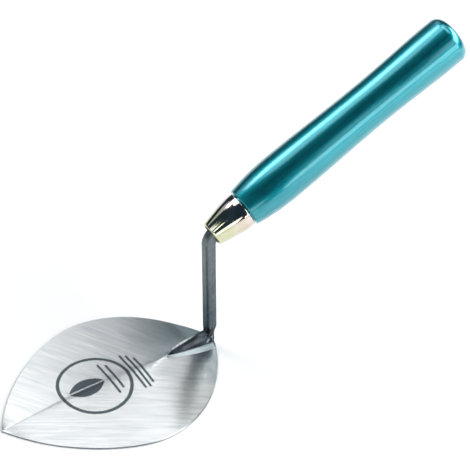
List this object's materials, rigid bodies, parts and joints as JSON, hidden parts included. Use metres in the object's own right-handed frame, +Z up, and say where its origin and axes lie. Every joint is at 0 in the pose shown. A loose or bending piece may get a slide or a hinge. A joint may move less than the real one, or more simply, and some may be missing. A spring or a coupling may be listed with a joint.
{
  "type": "leaf pointing trowel",
  "caption": "Small leaf-shaped pointing trowel: ground steel blade, cranked square neck, tapered plated ferrule and a long turned wooden handle in glossy teal lacquer.",
  "frame": {"origin": "on the flat sole of the blade, halfway between its tip and its heel", "axes": "+X from the blade's tip towards the handle, +Y across the blade, +Z up from the sole"},
  "size_m": [0.2542, 0.0878, 0.1511],
  "materials": {
    "ground_steel": "cross-ground steel with a dark etched mark",
    "forged_steel": "dark blue-grey satin forged steel",
    "weld_steel": "bright weld, ground smooth",
    "plated_steel": "polished steel with a pale yellow passivated plating",
    "lacquered_wood": "glossy teal lacquer over turned hardwood"
  },
  "bodies": {
    "root": {"blade": "ground_steel", "neck": "forged_steel", "weld_fillet": "weld_steel", "ferrule": "plated_steel", "handle": "lacquered_wood"}
  },
  "joints": []
}
